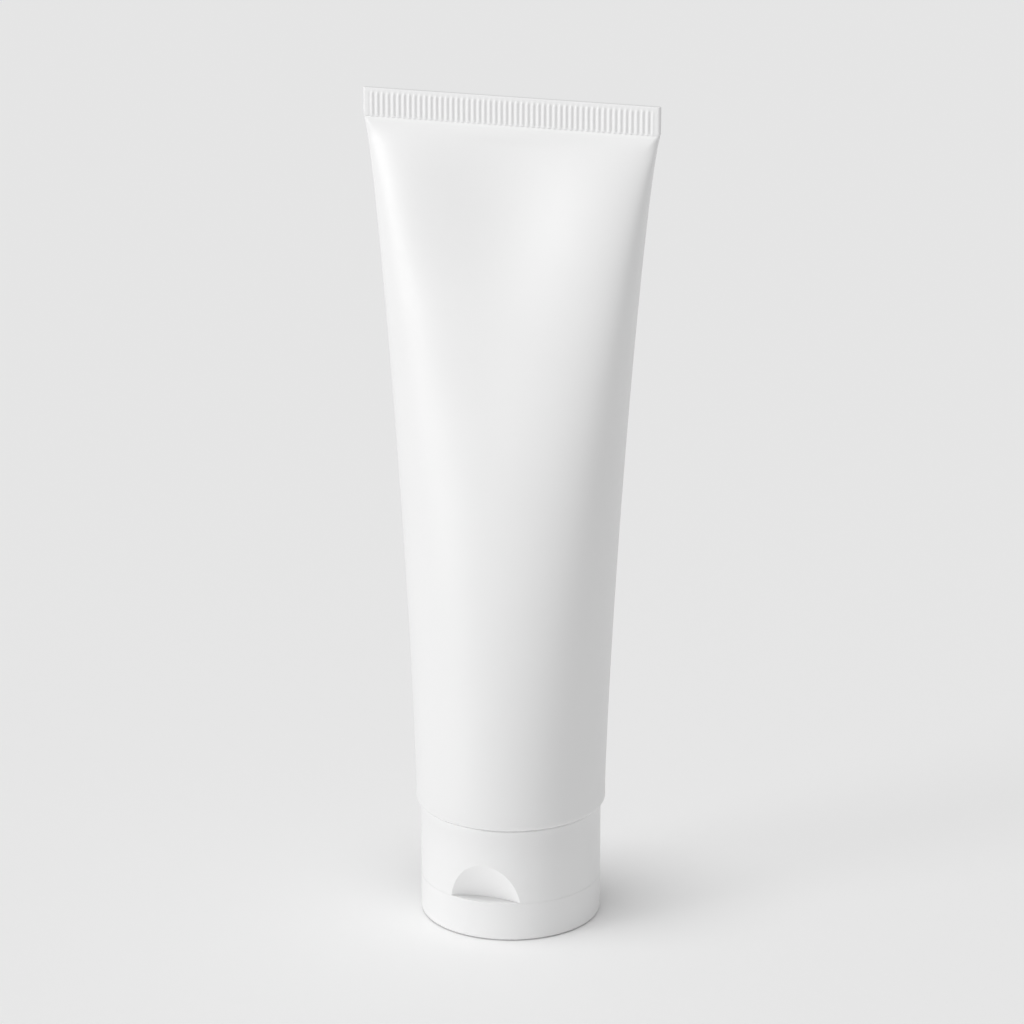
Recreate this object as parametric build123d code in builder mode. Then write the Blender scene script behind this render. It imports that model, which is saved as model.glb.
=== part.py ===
"""Collapsible toothpaste tube standing on its flip-top cap.

Millimetres, +Z up. The origin is the centre of the lid's flat face, on which the tube stands. The
flat tail runs along X, the thumb scoop faces -Y and the lid's hinge is at +Y.
"""

from build123d import *
import os
from math import cos, pi

# Sleeve: a plastic tube, round at the head and pressed flat at the tail.
sleeve_diameter = 38.0
sleeve_wall = 0.5
body_length = 138.4
head_round = 1.0
lip_overlap = 1.6
taper_start = 1.23
taper_end = 0.73
taper_steps = 14
barrel_share = 0.008
barrel_margin = 0.6

# Tail: the flattened end, welded shut between ribbed jaws.
crimp_thickness = 1.1
crimp_height = 5.6
rib_height = 4.9
rib_pitch = 1.085
rib_depth = 0.3
rib_end_margin = 1.0
weld_depth = 0.3

# Cap: base and lid share one outline, a circle with a flat at the back for the hinge.
cap_diameter = 36.2
cap_height = 23.6
lid_height = 8.0
parting_gap = 0.1
seam_gap = 0.1
hinge_flat_depth = 1.0
hinge_flat_height = 6.0
base_wall = 1.3
deck_thickness = 1.4
base_edge_round = 0.3
lid_wall = 1.2
lid_plate = 1.3
lid_edge_round = 0.8

# Thumb scoop: a ball-shaped hollow in the base's front, over a ledge on the lid's rim.
scoop_radius = 18.0
scoop_depth = 3.2
scoop_drop = 2.5
ledge_thickness = 1.2
ledge_margin = 1.0

# Collar under the deck, which centres the closed lid. It is open at the ledge.
collar_wall = 1.2
collar_height = 1.5
collar_clearance = 0.2
ledge_clearance = 0.3

# Outlet: a nozzle under the deck, closed by the lid's plug.
outlet_diameter = 5.2
nozzle_wall = 1.9
nozzle_height = 3.5
nozzle_edge_round = 0.4
plug_clearance = 0.35
plug_depth = 1.2
plug_chamfer = 0.5

# Head: a shoulder bonded into the sleeve, with a neck that the cap is pressed onto.
shoulder_thickness = 1.8
bond_line = 0.05
neck_diameter = 16.0
neck_wall = 1.8
neck_end_gap = 0.5
bead_depth = 0.5
bead_length = 1.0
bead_start = 1.2
catch_gap = 0.2
snap_clearance = 0.1
chimney_wall = 1.3
chimney_shortfall = 2.0
key_count = 4
key_width = 2.0
key_depth = 3.0
key_clearance = 0.15
seal_ring_wall = 1.0
seal_ring_height = 3.0
seal_clearance = 0.05

# Living hinge: a thin web across the parting line, on the back flats.
hinge_width = 9.0
hinge_thickness = 0.35
hinge_overlap = 1.5

# Paste fills the tube, up to a small air space under the tail.
paste_clearance = 0.15
air_space = 6.0

# Radii and levels that follow.
sleeve_radius = sleeve_diameter / 2
half_tail = crimp_thickness / 2
tail_width = pi * sleeve_radius
sleeve_bottom = cap_height
crimp_bottom = sleeve_bottom + body_length
cap_radius = cap_diameter / 2
hinge_face = cap_radius - hinge_flat_depth
lid_top = lid_height - parting_gap / 2
deck_bottom = lid_height + parting_gap / 2
deck_top = deck_bottom + deck_thickness
base_top = cap_height - seam_gap
lip_radius = cap_radius - lip_overlap
shoulder_inset = sleeve_wall + bond_line
shoulder_bottom = sleeve_bottom + shoulder_inset
shoulder_top = shoulder_bottom + shoulder_thickness
barrel_end = shoulder_top + barrel_margin
neck_radius = neck_diameter / 2
neck_bore = neck_radius - neck_wall
neck_end = deck_top + neck_end_gap
bead_radius = neck_radius + bead_depth
bead_bottom = neck_end + bead_start
bead_top = bead_bottom + bead_length
chimney_bore = bead_radius + snap_clearance
chimney_radius = chimney_bore + chimney_wall
chimney_top = base_top - chimney_shortfall
catch_radius = neck_radius + snap_clearance
catch_bottom = bead_top + catch_gap
seal_radius = neck_bore - seal_clearance
outlet_radius = outlet_diameter / 2
nozzle_radius = outlet_radius + nozzle_wall
nozzle_bottom = deck_bottom - nozzle_height
plug_radius = outlet_radius - plug_clearance
plug_top = nozzle_bottom + plug_depth
scoop_front = cap_radius - scoop_depth
ledge_edge = scoop_front - ledge_margin


def height_at(share):
    """Height at a share of the way from the barrel to the tail's weld."""
    return barrel_end + share * (crimp_bottom - barrel_end)


def end_radius(share):
    """Half the sleeve's thickness, which narrows from the round barrel to the pressed tail."""
    return half_tail + (sleeve_radius - half_tail) * (1 - share**taper_start) ** taper_end


def flat_length(share):
    """Length of the flats between the round ends. The way round the sleeve stays the same."""
    pressed = (sleeve_radius - end_radius(share)) / (sleeve_radius - half_tail)
    return (tail_width - crimp_thickness) * pressed


def section(share, inset):
    """The sleeve's section at a share, two half circles with flats between, drawn in by inset."""
    with BuildSketch() as outline:
        SlotCenterToCenter(flat_length(share), 2 * (end_radius(share) - inset))
    return outline.sketch


def sleeve_space(shares, inset):
    """The sleeve's form through the given shares, drawn in by inset all round."""
    with BuildPart() as space:
        for share in shares:
            with BuildSketch(Plane.XY.offset(height_at(share))):
                add(section(share, inset))
        loft()
    return space.part


def barrel_space(inset, top):
    """The round end of the sleeve with its rounded rim, drawn in by inset and cut off at top."""
    with BuildPart() as space:
        with BuildSketch(Plane.XY.offset(sleeve_bottom + inset)):
            add(section(barrel_share, inset))
        extrude(amount=top - sleeve_bottom - inset)
        fillet(space.edges().group_by(Axis.Z)[0], head_round - inset)
    return space.part


def cap_outline(inset):
    """Outline of the cap, drawn in by inset: a circle cut by the hinge flat."""
    with BuildSketch() as outline:
        Circle(cap_radius - inset)
        with Locations((0, hinge_face - inset + cap_radius)):
            Rectangle(2 * cap_radius, 2 * cap_radius, mode=Mode.SUBTRACT)
    return outline.sketch


def scoop_ball(radius):
    """Ball that hollows the thumb scoop, or backs it with a wall when it is larger."""
    with BuildPart() as ball:
        with Locations((0, -(scoop_front + scoop_radius), deck_bottom - scoop_drop)):
            Sphere(radius)
    return ball.part


# Sections crowd together at both ends, where the sleeve's slope changes most.
shares = [(1 - cos(pi * step / taper_steps)) / 2 for step in range(1, taper_steps + 1)]
shares.insert(0, barrel_share)
weld_share = 1 - weld_depth / (crimp_bottom - barrel_end)
cavity_shares = shares[:-1] + [weld_share]
barrel_top = height_at(barrel_share)

# The ribbed band: the tail's two walls run in and out together, in flat-sided waves.
rib_count = int((tail_width - 2 * rib_end_margin) / rib_pitch)
first_rib = -rib_count * rib_pitch / 2
wave = [
    (first_rib + step * rib_pitch / 2, rib_depth / 2 * (-1) ** step)
    for step in range(2 * rib_count + 1)
]
band_front = [(-tail_width / 2, 0), *wave, (tail_width / 2, 0)]
band_outline = [(x, y - half_tail) for x, y in band_front]
band_outline += [(x, y + half_tail) for x, y in reversed(band_front)]

with BuildPart() as tube_sleeve:
    add(sleeve_space(shares, 0))
    add(barrel_space(0, barrel_top))
    add(sleeve_space(cavity_shares, sleeve_wall), mode=Mode.SUBTRACT)
    add(barrel_space(sleeve_wall, barrel_top), mode=Mode.SUBTRACT)
    with BuildSketch(Plane.XY.offset(sleeve_bottom)):
        Circle(lip_radius)
    extrude(amount=sleeve_wall, mode=Mode.SUBTRACT)
    # The weld's ribbed band, and the plain rim above it.
    with BuildSketch(Plane.XY.offset(crimp_bottom)):
        with BuildLine():
            Polyline(*band_outline, close=True)
        make_face()
    extrude(amount=rib_height)
    with BuildSketch(Plane.XY.offset(crimp_bottom + rib_height)):
        Rectangle(tail_width, crimp_thickness)
    extrude(amount=crimp_height - rib_height)

with BuildPart() as tube_head:
    add(barrel_space(shoulder_inset, shoulder_top))
    with BuildSketch(Plane.XY.offset(neck_end)):
        Circle(neck_radius)
    extrude(amount=shoulder_bottom - neck_end)
    # Snap bead: a lead-in cone below, a square catch above.
    with BuildSketch(Plane.XZ):
        with BuildLine():
            Polyline(
                (neck_bore, bead_bottom),
                (neck_radius, bead_bottom),
                (bead_radius, bead_top - bead_length / 4),
                (bead_radius, bead_top),
                (neck_bore, bead_top),
                close=True,
            )
        make_face()
    revolve(axis=Axis.Z)
    # Keys at the neck's root stop the cap from turning.
    with BuildSketch(Plane.XY.offset(chimney_top - key_depth)):
        with PolarLocations((chimney_radius + catch_radius) / 2, key_count, start_angle=180 / key_count):
            Rectangle(chimney_radius - catch_radius, key_width)
    extrude(amount=shoulder_bottom - chimney_top + key_depth)
    with BuildSketch(Plane.XY.offset(neck_end)):
        Circle(neck_bore)
    extrude(amount=shoulder_top - neck_end, mode=Mode.SUBTRACT)

with BuildPart() as toothpaste:
    add(sleeve_space(cavity_shares, sleeve_wall + paste_clearance))
    split(bisect_by=Plane.XY.offset(crimp_bottom - air_space), keep=Keep.BOTTOM)
    paste_bottom = shoulder_top + paste_clearance
    with BuildSketch(Plane.XY.offset(paste_bottom)):
        add(section(barrel_share, sleeve_wall + paste_clearance))
    extrude(amount=barrel_top - paste_bottom)
    # Column down the neck, and a thinner one in the outlet above the plug.
    with BuildSketch(Plane.XY.offset(deck_top + paste_clearance)):
        Circle(seal_radius - seal_ring_wall - paste_clearance)
    extrude(amount=paste_bottom - deck_top - paste_clearance)
    with BuildSketch(Plane.XY.offset(plug_top + plug_clearance)):
        Circle(outlet_radius - paste_clearance)
    extrude(amount=deck_top + paste_clearance - plug_top - plug_clearance)

with BuildPart() as cap_base:
    with BuildSketch(Plane.XY.offset(deck_bottom)):
        Circle(cap_radius)
    extrude(amount=base_top - deck_bottom)
    fillet(cap_base.edges().group_by(Axis.Z)[-1], base_edge_round)
    # Recess for the hinge, with the wall set in behind it.
    with BuildSketch(Plane.XY.offset(deck_bottom)):
        with Locations((0, hinge_face + cap_radius)):
            Rectangle(2 * cap_radius, 2 * cap_radius)
    extrude(amount=hinge_flat_height, mode=Mode.SUBTRACT)
    envelope = cap_base.part
    with BuildSketch(Plane.XY.offset(deck_top)):
        add(cap_outline(base_wall))
    extrude(amount=base_top - deck_top, mode=Mode.SUBTRACT)
    # Thumb scoop, with a wall of its own behind it.
    add(envelope.intersect(scoop_ball(scoop_radius + base_wall)))
    # Chimney round the neck, with the catch that holds the snap bead.
    with BuildSketch(Plane.XY.offset(deck_top)):
        Circle(chimney_radius)
    extrude(amount=chimney_top - deck_top)
    with BuildSketch(Plane.XY.offset(deck_top)):
        Circle(chimney_bore)
    extrude(amount=catch_bottom - deck_top, mode=Mode.SUBTRACT)
    with BuildSketch(Plane.XY.offset(catch_bottom)):
        Circle(catch_radius)
    extrude(amount=bead_length, mode=Mode.SUBTRACT)
    with BuildSketch(Plane.XY.offset(catch_bottom + bead_length)):
        Circle(chimney_bore)
    extrude(amount=chimney_top - catch_bottom - bead_length, mode=Mode.SUBTRACT)
    # Slots for the neck's keys.
    with BuildSketch(Plane.XY.offset(chimney_top - key_depth - key_clearance)):
        with PolarLocations(chimney_radius, key_count, start_angle=180 / key_count):
            Rectangle(2 * chimney_wall + 2 * key_clearance, key_width + 2 * key_clearance)
    extrude(amount=key_depth + key_clearance, mode=Mode.SUBTRACT)
    # Seal ring that plugs into the neck.
    with BuildSketch(Plane.XY.offset(deck_top)):
        Circle(seal_radius)
        Circle(seal_radius - seal_ring_wall, mode=Mode.SUBTRACT)
    extrude(amount=seal_ring_height)
    # Collar that centres the lid, cut away over the lid's ledge.
    with BuildSketch(Plane.XY.offset(deck_bottom - collar_height)):
        add(cap_outline(lid_wall + collar_clearance))
        add(cap_outline(lid_wall + collar_clearance + collar_wall), mode=Mode.SUBTRACT)
        with Locations((0, -(ledge_edge - ledge_clearance + cap_radius))):
            Rectangle(2 * cap_radius, 2 * cap_radius, mode=Mode.SUBTRACT)
    extrude(amount=collar_height)
    # Nozzle and outlet.
    with BuildSketch(Plane.XY.offset(nozzle_bottom)):
        Circle(nozzle_radius)
    extrude(amount=nozzle_height)
    fillet(cap_base.edges().group_by(Axis.Z)[0], nozzle_edge_round)
    with BuildSketch(Plane.XY.offset(nozzle_bottom)):
        Circle(outlet_radius)
    extrude(amount=deck_top - nozzle_bottom, mode=Mode.SUBTRACT)
    add(scoop_ball(scoop_radius), mode=Mode.SUBTRACT)

with BuildPart() as cap_lid:
    with BuildSketch():
        add(cap_outline(0))
    extrude(amount=lid_top)
    fillet(cap_lid.edges().group_by(Axis.Z)[0], lid_edge_round)
    with BuildSketch(Plane.XY.offset(lid_plate)):
        add(cap_outline(lid_wall))
    extrude(amount=lid_top - lid_plate, mode=Mode.SUBTRACT)
    # Ledge under the thumb scoop.
    with BuildSketch(Plane.XY.offset(lid_top - ledge_thickness)):
        Circle(cap_radius - lid_wall / 2)
        with Locations((0, cap_radius - ledge_edge)):
            Rectangle(2 * cap_radius, 2 * cap_radius, mode=Mode.SUBTRACT)
    extrude(amount=ledge_thickness)
    # Plug for the outlet.
    with BuildSketch(Plane.XY.offset(lid_plate)):
        Circle(plug_radius)
    extrude(amount=plug_top - lid_plate)
    flats = cap_lid.faces().filter_by(GeomType.PLANE)
    plug_end = flats.filter_by(lambda face: abs(face.center().Z - plug_top) < plug_clearance)
    chamfer(plug_end.edges(), plug_chamfer)

with BuildPart() as living_hinge:
    with BuildSketch(Plane.XY.offset(lid_height - hinge_overlap)):
        with Locations((0, hinge_face + hinge_thickness / 2)):
            Rectangle(hinge_width, hinge_thickness)
    extrude(amount=2 * hinge_overlap)

pieces = {
    "tube_sleeve": tube_sleeve,
    "tube_head": tube_head,
    "toothpaste": toothpaste,
    "cap_base": cap_base,
    "cap_lid": cap_lid,
    "living_hinge": living_hinge,
}
os.makedirs("parts", exist_ok=True)
for name, piece in pieces.items():
    piece.part.label = name
    export_step(piece.part, f"parts/{name}.step")
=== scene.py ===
"""Looks of the toothpaste tube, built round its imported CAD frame. Metres, +Z up."""
import math

import bpy
import numpy as np
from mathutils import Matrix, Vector


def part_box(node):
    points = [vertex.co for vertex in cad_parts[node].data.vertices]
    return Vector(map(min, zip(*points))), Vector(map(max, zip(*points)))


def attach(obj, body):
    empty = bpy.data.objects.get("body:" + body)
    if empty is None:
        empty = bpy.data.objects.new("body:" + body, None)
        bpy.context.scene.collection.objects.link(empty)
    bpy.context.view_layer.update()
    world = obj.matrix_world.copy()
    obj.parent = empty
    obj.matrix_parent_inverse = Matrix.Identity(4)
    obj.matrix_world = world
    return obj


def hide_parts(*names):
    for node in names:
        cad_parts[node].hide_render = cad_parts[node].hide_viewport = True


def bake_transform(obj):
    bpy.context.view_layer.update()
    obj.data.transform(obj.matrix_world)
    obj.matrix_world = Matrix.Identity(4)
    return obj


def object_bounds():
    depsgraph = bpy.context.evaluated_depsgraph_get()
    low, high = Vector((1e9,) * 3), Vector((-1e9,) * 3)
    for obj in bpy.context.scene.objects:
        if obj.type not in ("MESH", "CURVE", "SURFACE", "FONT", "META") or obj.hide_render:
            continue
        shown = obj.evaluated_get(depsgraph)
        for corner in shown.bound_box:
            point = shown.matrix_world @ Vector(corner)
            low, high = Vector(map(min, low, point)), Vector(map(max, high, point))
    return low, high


MM = 0.001

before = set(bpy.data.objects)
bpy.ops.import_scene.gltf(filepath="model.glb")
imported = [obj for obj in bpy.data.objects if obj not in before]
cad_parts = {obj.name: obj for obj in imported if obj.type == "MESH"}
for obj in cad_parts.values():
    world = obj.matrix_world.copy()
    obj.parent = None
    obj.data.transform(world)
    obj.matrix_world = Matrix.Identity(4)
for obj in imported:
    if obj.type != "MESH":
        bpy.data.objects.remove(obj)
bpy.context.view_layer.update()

# Sleeve, as the CAD shapes it: a round barrel that narrows to a pressed tail.
# A share is how far up a ring lies, 0 at the barrel's end and 1 at the weld.
SLEEVE_RADIUS = 19.0 * MM
SLEEVE_WALL = 0.5 * MM
HALF_TAIL = 0.55 * MM
TAPER_START = 1.23
TAPER_END = 0.73
BARREL_END = 26.55 * MM
LEAST_SHARE = 0.008
CRIMP_BOTTOM = 162.0 * MM
HEAD_ROUND = 1.0 * MM
LIP_REACH = 2.4 * MM
# How far the ends and rings of the visual pieces are drawn in from their true sizes.
SKIN = 0.01 * MM

# Tail: the ribbed weld, with a plain rim above it.
RIB_HEIGHT = 4.9 * MM
RIB_PITCH = 1.085 * MM
RIB_COUNT = 53
RIB_SWING = 0.13 * MM
RIB_SQUARENESS = 0.6
RIB_RUN_IN = 0.5 * MM
RIB_LEVELS = (0.25 * MM, 0.5 * MM, 0.8 * MM)
TAIL_EDGE = 0.18 * MM

# Soft form of a filled sleeve: the flanks bulge and the panels dish between them. The powers
# shape the outline: 2 is an ellipse, and more is squarer. From and to are shares.
ROUND_POWER = 2.0
PANEL_POWER = 3.4
POWER_RISE = 2.2
PANEL_PRESS = 0.4
PRESS_FROM, PRESS_TO = 0.70, 0.95
DISH_FROM, DISH_TO = 0.35, 0.75
DISH_SPREAD = 0.95
# From here on the form goes over into the CAD's slot section.
SLOT_FROM = 0.97
# Groove that the weld's jaws press along its foot.
BITE = 0.12 * MM
BITE_REACH = 0.45 * MM

# Fineness of the sleeve's mesh.
COLUMNS = 800
BODY_ROWS = 74
ROW_CROWDING = 1.2
ROUND_STEPS = 7
EDGE_STEPS = 4
OUTLINE_STEPS = 160
HALVINGS = 30

# Paste: it fills the sleeve, and runs down the neck and the outlet.
PASTE_CLEARANCE = 0.15 * MM
PASTE_TOP = 156.0 * MM
PASTE_SHOULDER = 26.1 * MM
NECK_RADIUS = 5.0 * MM
NECK_BOTTOM = 9.6 * MM
OUTLET_RADIUS = 2.45 * MM
PASTE_COLUMNS = 160
PASTE_ROWS = 48

# Film hinge: its back is grooved across the middle. The depth is a share of its thickness.
WEB_ROWS = 36
WEB_COLUMNS = 12
GROOVE_DEPTH = 0.3
GROOVE_REACH = 0.35 * MM

# Lid rim: it rises over the CAD lid's, to a hairline under the base.
RIM_RISE = 0.08 * MM
RIM_SINK = 0.20 * MM
RIM_WIDTH = 0.9 * MM
RIM_INSET = 0.04 * MM
RIM_STEPS = 120
LEDGE_EDGE = -13.9 * MM

# Plastics and paste. Grain and ripple are noise scales, per metre.
SLEEVE_LOOK = dict(pale=(0.88, 0.88, 0.88), shade=(0.865, 0.865, 0.865),
                   rough=0.40, grain=900, ripple=45, bump=0.08)
CAP_LOOK = dict(pale=(0.90, 0.90, 0.90), shade=(0.885, 0.885, 0.885),
                rough=0.34, grain=1400, ripple=90, bump=0.06)
HEAD_LOOK = dict(pale=(0.84, 0.84, 0.83), shade=(0.81, 0.81, 0.80),
                 rough=0.50, grain=1100, ripple=120, bump=0.10)
PASTE_LOOK = dict(pale=(0.86, 0.87, 0.88), shade=(0.82, 0.84, 0.86),
                  rough=0.45, grain=500, ripple=150, bump=0.30, subsurface=0.2)
NOISE_LOW, NOISE_HIGH = 0.3, 0.7
GLOSS_SWING = 0.04
GRAIN_HEIGHT = 0.05 * MM
RIPPLE_HEIGHT = 0.25 * MM
PLASTIC_IOR = 1.49
SOFT_RADIUS = (1.0, 0.9, 0.8)
SOFT_SCALE = 1.0 * MM

# Lights: angles in degrees, the azimuth from the front and the height from the floor.
SIDE_STRENGTH = 1.68
SIDE_SPREAD = 22
SIDE_HEIGHT = 3
SIDE_AZIMUTH = -45
TOP_STRENGTH = 1.17
TOP_SPREAD = 18
TOP_HEIGHT = 84
TOP_AZIMUTH = -25
FILL = 0.41

# Backdrop and floor.
PALE = 0.80
FLOOR_SHADE = 0.96
FLOOR_SIZE = 6.0
FLOOR_DROP = 0.02 * MM

CAMERA_PLACE = (0.2408, -0.7629, 0.3467)
CAMERA_TURN = (71.825, 0.0, 17.5)
CAMERA_LENS = 150.15
CAMERA_SENSOR = 36.0


# Outlines and rings

def smooth(low, high, value):
    """0 below low, 1 above high, and an eased rise between."""
    t = min(1.0, max(0.0, (value - low) / (high - low)))
    return t * t * (3 - 2 * t)


def end_radius(share):
    """Half the thickness of the CAD's sleeve at a share."""
    pressed = (1 - share ** TAPER_START) ** TAPER_END
    return HALF_TAIL + (SLEEVE_RADIUS - HALF_TAIL) * pressed


def half_flat(share):
    """Half the length of the flats between the CAD sleeve's round ends."""
    pressed = (SLEEVE_RADIUS - end_radius(share)) / (SLEEVE_RADIUS - HALF_TAIL)
    return (math.pi * SLEEVE_RADIUS - 2 * HALF_TAIL) * pressed / 2


def body_share(z):
    """The share at a height."""
    return (z - BARREL_END) / (CRIMP_BOTTOM - BARREL_END)


def body_height(share):
    """The height of a share."""
    return BARREL_END + share * (CRIMP_BOTTOM - BARREL_END)


def slot_point(flat, radius, way):
    """A point on a slot-shaped outline. way is how far round it lies, 0 to 1."""
    run = (way % 1.0) * (4 * flat + 2 * math.pi * radius)
    quarter = math.pi * radius / 2
    if run < quarter:
        turn = run / radius
        return flat + radius * math.cos(turn), radius * math.sin(turn)
    if run < quarter + 2 * flat:
        return flat - (run - quarter), radius
    if run < 3 * quarter + 2 * flat:
        turn = math.pi / 2 + (run - quarter - 2 * flat) / radius
        return -flat + radius * math.cos(turn), radius * math.sin(turn)
    if run < 3 * quarter + 4 * flat:
        return -flat + (run - 3 * quarter - 2 * flat), -radius
    turn = 3 * math.pi / 2 + (run - 3 * quarter - 4 * flat) / radius
    return flat + radius * math.cos(turn), radius * math.sin(turn)


def quarter_outline(wide, deep, power):
    """A quarter of a rounded outline: its points, and the length run at each of them."""
    turn = np.linspace(0, math.pi / 2, OUTLINE_STEPS)
    x = wide * np.cos(turn).clip(0) ** (2 / power)
    y = deep * np.sin(turn).clip(0) ** (2 / power)
    run = np.concatenate([[0], np.cumsum(np.hypot(np.diff(x), np.diff(y)))])
    return x, y, run


def filled_depth(wide, flat_depth, power):
    """Half the thickness that keeps the way round the sleeve the same at this width."""
    low, high = flat_depth, SLEEVE_RADIUS
    for _ in range(HALVINGS):
        middle = (low + high) / 2
        if 4 * quarter_outline(wide, middle, power)[2][-1] > 2 * math.pi * SLEEVE_RADIUS:
            high = middle
        else:
            low = middle
    return low


def sleeve_ring(share, inset, count, z):
    """A ring of the filled sleeve's soft form at a share, drawn in by inset and put at z."""
    share = min(1.0, max(LEAST_SHARE, share))
    flat, radius = half_flat(share), end_radius(share)
    wide = flat + radius
    power = ROUND_POWER + (PANEL_POWER - ROUND_POWER) * share ** POWER_RISE
    deep = filled_depth(wide, radius, power)
    # Towards the tail the middle of each panel sinks to the CAD's depth, then under it.
    pressed = 1 - PANEL_PRESS * smooth(PRESS_FROM, PRESS_TO, share)
    panel_depth = HALF_TAIL + (radius - HALF_TAIL) * pressed
    dish = max(0.0, deep - panel_depth) * smooth(DISH_FROM, DISH_TO, share)
    outline_x, outline_y, runs = quarter_outline(wide - inset, deep - inset, power)
    slot_share = smooth(SLOT_FROM, 1.0, share)
    ring = []
    for column in range(count):
        way = column / count
        quarter, part = divmod(4 * way, 1.0)
        run = (part if quarter in (0, 2) else 1 - part) * runs[-1]
        x = np.interp(run, runs, outline_x) * (1 if quarter in (0, 3) else -1)
        y = np.interp(run, runs, outline_y) * (1 if quarter in (0, 1) else -1)
        across = min(1.0, abs(x) / (DISH_SPREAD * wide))
        y -= math.copysign(dish * math.cos(math.pi * across / 2) ** 2, y)
        slot_x, slot_y = slot_point(flat, radius - inset, way)
        ring.append((x + (slot_x - x) * slot_share, y + (slot_y - y) * slot_share, z))
    return ring


def tail_point(way, z, inset):
    """A point of the ribbed weld: both walls run in and out together."""
    x, y = slot_point(half_flat(1.0), HALF_TAIL - inset, way)
    half_run = RIB_COUNT * RIB_PITCH / 2
    fade = smooth(0, RIB_RUN_IN, z - CRIMP_BOTTOM)
    fade *= 1 - smooth(RIB_HEIGHT - RIB_RUN_IN, RIB_HEIGHT, z - CRIMP_BOTTOM)
    fade *= 1 - smooth(half_run - RIB_PITCH / 2, half_run, abs(x))
    wave = math.sin(math.pi * 2 * (x + half_run) / RIB_PITCH)
    rib = math.copysign(abs(wave) ** RIB_SQUARENESS, wave)
    return x, y + RIB_SWING * rib * fade


def ring_at(z, count, point):
    """A ring at a height. point gives x and y for how far round each corner lies."""
    return [(*point(column / count), z) for column in range(count)]


# Meshes

def new_mesh(name, points, faces, smooth_shaded=True):
    """An object with a mesh of these points and faces."""
    mesh = bpy.data.meshes.new(name)
    mesh.from_pydata(points, [], faces)
    mesh.validate()
    mesh.polygons.foreach_set("use_smooth", [smooth_shaded] * len(mesh.polygons))
    mesh.update()
    obj = bpy.data.objects.new(name, mesh)
    bpy.context.scene.collection.objects.link(obj)
    return obj


def skin_rings(rings, close_ends):
    """Points and faces that join closed rings of equal length, with flat ends if asked."""
    count = len(rings[0])
    points = [point for ring in rings for point in ring]
    faces = []
    for row in range(len(rings) - 1):
        base = row * count
        for column in range(count):
            beside = (column + 1) % count
            faces.append((base + column, base + beside,
                          base + count + beside, base + count + column))
    if close_ends:
        last = (len(rings) - 1) * count
        faces.append(tuple(reversed(range(count))))
        faces.append(tuple(range(last, last + count)))
    return points, faces


def lower_rings(bottom):
    """Sleeve rings from inside the wall, under its turned-in lip and round its lower edge."""
    places = [(bottom + LIP_REACH, SLEEVE_WALL),
              (bottom + SLEEVE_WALL + HEAD_ROUND / 2, SLEEVE_WALL),
              (bottom + SLEEVE_WALL, HEAD_ROUND),
              (bottom + SLEEVE_WALL, LIP_REACH),
              (bottom + SKIN, LIP_REACH)]
    for step in range(ROUND_STEPS + 1):
        turn = math.pi / 2 * step / ROUND_STEPS
        places.append((bottom + SKIN + HEAD_ROUND * (1 - math.cos(turn)),
                       HEAD_ROUND * (1 - math.sin(turn)) + SKIN))
    return [sleeve_ring(LEAST_SHARE, inset, COLUMNS, z) for z, inset in places]


def body_rings():
    """Sleeve rings up to the weld. They crowd together there, where the form changes most."""
    rings = []
    for row in range(BODY_ROWS + 1):
        share = math.sin(math.pi / 2 * row / BODY_ROWS) ** ROW_CROWDING
        z = body_height(share)
        bite = BITE * (1 - smooth(0, BITE_REACH, CRIMP_BOTTOM - z))
        rings.append(sleeve_ring(share, SKIN + bite, COLUMNS, z))
    return rings


def weld_rings(top):
    """Sleeve rings up the ribbed weld and round its top edge."""
    low, middle, high = RIB_LEVELS
    levels = [low, middle, high]
    levels += [high + (RIB_HEIGHT - 2 * high) * step / 4 for step in (1, 2, 3, 4)]
    levels += [RIB_HEIGHT - middle, RIB_HEIGHT - low, RIB_HEIGHT]
    places = []
    for level in levels:
        places.append((CRIMP_BOTTOM + level, SKIN + BITE * (1 - smooth(0, BITE_REACH, level))))
    for step in range(EDGE_STEPS + 1):
        turn = math.pi / 2 * step / EDGE_STEPS
        places.append((top - SKIN - TAIL_EDGE * (1 - math.sin(turn)),
                       SKIN + TAIL_EDGE * (1 - math.cos(turn))))
    return [ring_at(z, COLUMNS, lambda way: tail_point(way, z, inset)) for z, inset in places]


def top_faces(start):
    """A strip of faces between the front and back halves of the last ring."""
    faces = []
    for column in range(COLUMNS // 2):
        corners = (start + column, start + column + 1,
                   start + (COLUMNS - column - 1) % COLUMNS,
                   start + (COLUMNS - column) % COLUMNS)
        corners = tuple(dict.fromkeys(corners))
        if len(corners) > 2:
            faces.append(corners)
    return faces


def build_sleeve():
    """The tube's sleeve with its rounded lower edge, soft body and ribbed weld."""
    low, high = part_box("tube_sleeve")
    rings = lower_rings(low.z) + body_rings() + weld_rings(high.z)
    points, faces = skin_rings(rings, close_ends=False)
    sleeve = new_mesh("sleeve", points, faces + top_faces(len(points) - COLUMNS))
    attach(sleeve, "tube")
    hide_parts("tube_sleeve")
    return sleeve


def round_ring(z, radius):
    """A round ring of the paste's column."""
    return ring_at(z, PASTE_COLUMNS, lambda way: (radius * math.cos(2 * math.pi * way),
                                                  radius * math.sin(2 * math.pi * way)))


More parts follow.
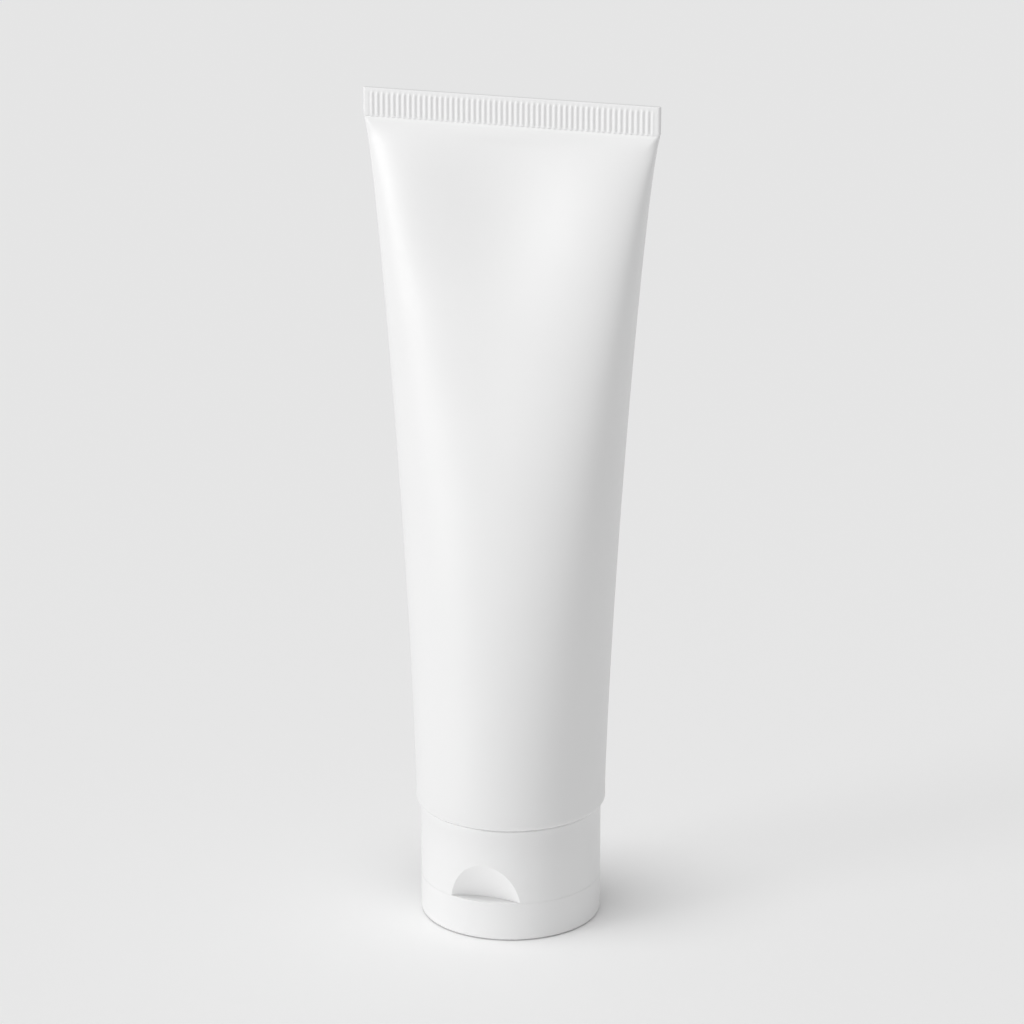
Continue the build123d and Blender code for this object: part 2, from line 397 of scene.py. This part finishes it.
def build_paste():
    """The paste in the sleeve, the neck and the outlet."""
    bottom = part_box("toothpaste")[0].z
    rings = [round_ring(bottom + SKIN, OUTLET_RADIUS), round_ring(NECK_BOTTOM, OUTLET_RADIUS),
             round_ring(NECK_BOTTOM, NECK_RADIUS), round_ring(PASTE_SHOULDER, NECK_RADIUS)]
    for row in range(PASTE_ROWS + 1):
        share = LEAST_SHARE + (body_share(PASTE_TOP) - LEAST_SHARE) * row / PASTE_ROWS
        z = PASTE_SHOULDER if row == 0 else body_height(share)
        rings.append(sleeve_ring(share, SLEEVE_WALL + PASTE_CLEARANCE, PASTE_COLUMNS, z))
    paste = new_mesh("paste", *skin_rings(rings, close_ends=True))
    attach(paste, "tube")
    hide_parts("toothpaste")
    return paste


def web_points(low, high):
    """Points of the web's front, then of its grooved back, row by row upwards."""
    middle = (low.z + high.z) / 2
    points = []
    for front in (True, False):
        for row in range(WEB_ROWS + 1):
            z = low.z + (high.z - low.z) * row / WEB_ROWS
            groove = GROOVE_DEPTH * math.exp(-((z - middle) / GROOVE_REACH) ** 2)
            y = low.y if front else high.y - groove * (high.y - low.y)
            for column in range(WEB_COLUMNS + 1):
                points.append((low.x + (high.x - low.x) * column / WEB_COLUMNS, y, z))
    return points


def web_faces():
    """Faces of the web's front and back, of its ends, and of its bottom and top."""
    row_length = WEB_COLUMNS + 1
    back = (WEB_ROWS + 1) * row_length
    faces = []
    for row in range(WEB_ROWS):
        for column in range(WEB_COLUMNS):
            a = row * row_length + column
            face = (a, a + 1, a + row_length + 1, a + row_length)
            faces.append(face)
            faces.append(tuple(back + corner for corner in reversed(face)))
    for row in range(WEB_ROWS):
        for column, flip in ((0, False), (WEB_COLUMNS, True)):
            a = row * row_length + column
            face = (a, a + row_length, back + a + row_length, back + a)
            faces.append(tuple(reversed(face)) if flip else face)
    for row, flip in ((0, True), (WEB_ROWS, False)):
        for column in range(WEB_COLUMNS):
            a = row * row_length + column
            face = (a, a + 1, back + a + 1, back + a)
            faces.append(face if flip else tuple(reversed(face)))
    return faces


def build_hinge():
    """The film hinge: a thin web across the parting line, thinner still at its middle."""
    low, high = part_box("living_hinge")
    hinge = new_mesh("film_hinge", web_points(low, high), web_faces())
    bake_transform(hinge)
    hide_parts("living_hinge")
    return hinge


def build_lid_rim():
    """The lid's rim and thumb ledge, which all but close the parting line."""
    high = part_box("cap_lid")[1]
    radius = high.x - RIM_INSET
    inner = (radius - RIM_WIDTH) / radius
    points, faces = [], []
    for step in range(RIM_STEPS):
        turn = 2 * math.pi * step / RIM_STEPS
        x, y = radius * math.cos(turn), min(radius * math.sin(turn), high.y - RIM_INSET)
        inside_y = LEDGE_EDGE if y < LEDGE_EDGE else y * inner
        for z in (high.z - RIM_SINK, high.z + RIM_RISE):
            points += [(x, y, z), (x * inner, inside_y, z)]
    for step in range(RIM_STEPS):
        a, b = 4 * step, 4 * ((step + 1) % RIM_STEPS)
        faces += [(a, b, b + 2, a + 2), (a + 2, b + 2, b + 3, a + 3),
                  (a + 3, b + 3, b + 1, a + 1), (a + 1, b + 1, b, a)]
    rim = new_mesh("lid_rim", points, faces, smooth_shaded=False)
    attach(rim, "lid")
    return rim


# Materials

def node(tree, kind, **inputs):
    """A shader node with its inputs set. A pair of (node, output name) makes a link."""
    made = tree.nodes.new(kind)
    for name, value in inputs.items():
        socket = made.inputs[name.replace("_", " ")]
        if isinstance(value, tuple) and isinstance(value[0], bpy.types.Node):
            tree.links.new(value[0].outputs[value[1]], socket)
        else:
            socket.default_value = value
    return made


def empty_material(name):
    """A new material with no nodes in it."""
    made = bpy.data.materials.new(name)
    made.use_nodes = True
    made.node_tree.nodes.clear()
    return made


def stretch(tree, noise, low, high):
    """A noise output stretched to run from low to high."""
    return node(tree, "ShaderNodeMapRange", Value=(noise, "Fac"), From_Min=NOISE_LOW,
                From_Max=NOISE_HIGH, To_Min=low, To_Max=high)


def mottled_colour(tree, noise, shade, pale):
    """The colour socket of a mix that noise moves between shade and pale."""
    mix = node(tree, "ShaderNodeMix")
    mix.data_type = "RGBA"
    first, second = [socket for socket in mix.inputs if socket.type == "RGBA"]
    first.default_value = (*shade, 1)
    second.default_value = (*pale, 1)
    tree.links.new(stretch(tree, noise, 0.0, 1.0).outputs["Result"], mix.inputs[0])
    return [socket for socket in mix.outputs if socket.type == "RGBA"][0]


def plastic(name, pale, shade, rough, grain, ripple, bump, subsurface=0.0):
    """A moulded or extruded plastic: a faint change of shade, an uneven gloss and a fine grain."""
    made = empty_material(name)
    tree = made.node_tree
    place = node(tree, "ShaderNodeTexCoord")
    wide = node(tree, "ShaderNodeTexNoise", Vector=(place, "Object"), Scale=ripple, Detail=3.0)
    fine = node(tree, "ShaderNodeTexNoise", Vector=(place, "Object"), Scale=grain, Detail=4.0)
    gloss = stretch(tree, fine, rough - GLOSS_SWING, rough + GLOSS_SWING)
    height = node(tree, "ShaderNodeBump", Strength=bump, Distance=GRAIN_HEIGHT,
                  Height=(fine, "Fac"))
    swell = node(tree, "ShaderNodeBump", Strength=bump, Distance=RIPPLE_HEIGHT,
                 Height=(wide, "Fac"), Normal=(height, "Normal"))
    surface = node(tree, "ShaderNodeBsdfPrincipled", Roughness=(gloss, "Result"),
                   Normal=(swell, "Normal"), IOR=PLASTIC_IOR)
    tree.links.new(mottled_colour(tree, wide, shade, pale), surface.inputs["Base Color"])
    if subsurface:
        surface.inputs["Subsurface Weight"].default_value = subsurface
        surface.inputs["Subsurface Radius"].default_value = SOFT_RADIUS
        surface.inputs["Subsurface Scale"].default_value = SOFT_SCALE
    node(tree, "ShaderNodeOutputMaterial", Surface=(surface, "BSDF"))
    return made


def wear(obj, material):
    """The object's only material becomes this one."""
    obj.data.materials.clear()
    obj.data.materials.append(material)


def dress(sleeve, paste, hinge, lid_rim):
    """Materials for every piece, and for the CAD nodes that stay in view."""
    cap_look = plastic("cap_plastic_look", **CAP_LOOK)
    head_look = plastic("head_plastic_look", **HEAD_LOOK)
    wear(sleeve, plastic("sleeve_plastic_look", **SLEEVE_LOOK))
    wear(paste, plastic("paste_look", **PASTE_LOOK))
    wear(hinge, cap_look)
    wear(lid_rim, cap_look)
    for name, look in (("cap_base", cap_look), ("cap_lid", cap_look), ("tube_head", head_look)):
        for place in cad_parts[name].material_slots:
            place.link = "OBJECT"
            place.material = look


# Setting

def build_floor():
    """A wide pale floor that takes the soft shadow."""
    half = FLOOR_SIZE / 2
    corners = [(-half, -half, 0), (half, -half, 0), (half, half, 0), (-half, half, 0)]
    floor = new_mesh("floor", corners, [(0, 1, 2, 3)])
    floor.location.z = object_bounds()[0][2] - FLOOR_DROP
    look = empty_material("floor_look")
    matt = node(look.node_tree, "ShaderNodeBsdfDiffuse", Color=(FLOOR_SHADE,) * 3 + (1,))
    node(look.node_tree, "ShaderNodeOutputMaterial", Surface=(matt, "BSDF"))
    wear(floor, look)


def build_sky():
    """Even fill light, and a pale backdrop where the camera sees past the floor."""
    world = bpy.data.worlds.new("sky")
    bpy.context.scene.world = world
    world.use_nodes = True
    tree = world.node_tree
    tree.nodes.clear()
    ray = node(tree, "ShaderNodeLightPath")
    fill = node(tree, "ShaderNodeBackground", Color=(1, 1, 1, 1), Strength=FILL)
    pale = node(tree, "ShaderNodeBackground", Color=(1, 1, 1, 1), Strength=PALE)
    pick = node(tree, "ShaderNodeMixShader")
    tree.links.new(ray.outputs["Is Camera Ray"], pick.inputs[0])
    tree.links.new(fill.outputs[0], pick.inputs[1])
    tree.links.new(pale.outputs[0], pick.inputs[2])
    out = node(tree, "ShaderNodeOutputWorld")
    tree.links.new(pick.outputs[0], out.inputs["Surface"])


def build_light(name, strength, spread, height, azimuth):
    """A broad soft light that comes from this height and azimuth."""
    data = bpy.data.lights.new(name, "SUN")
    data.energy = strength
    data.angle = math.radians(spread)
    light = bpy.data.objects.new(name, data)
    bpy.context.scene.collection.objects.link(light)
    turn, rise = math.radians(azimuth), math.radians(height)
    source = Vector((math.sin(turn) * math.cos(rise), -math.cos(turn) * math.cos(rise),
                     math.sin(rise)))
    light.rotation_euler = source.to_track_quat("Z", "Y").to_euler()
    light.location = source


def build_camera():
    """The scene's camera."""
    data = bpy.data.cameras.new("camera")
    data.lens = CAMERA_LENS
    data.sensor_width = CAMERA_SENSOR
    camera = bpy.data.objects.new("camera", data)
    bpy.context.scene.collection.objects.link(camera)
    camera.location = CAMERA_PLACE
    camera.rotation_euler = [math.radians(angle) for angle in CAMERA_TURN]
    bpy.context.scene.camera = camera


dress(build_sleeve(), build_paste(), build_hinge(), build_lid_rim())
build_floor()
build_sky()
build_light("side_light", SIDE_STRENGTH, SIDE_SPREAD, SIDE_HEIGHT, SIDE_AZIMUTH)
build_light("top_light", TOP_STRENGTH, TOP_SPREAD, TOP_HEIGHT, TOP_AZIMUTH)
build_camera()
bpy.context.scene.view_settings.view_transform = "Standard"
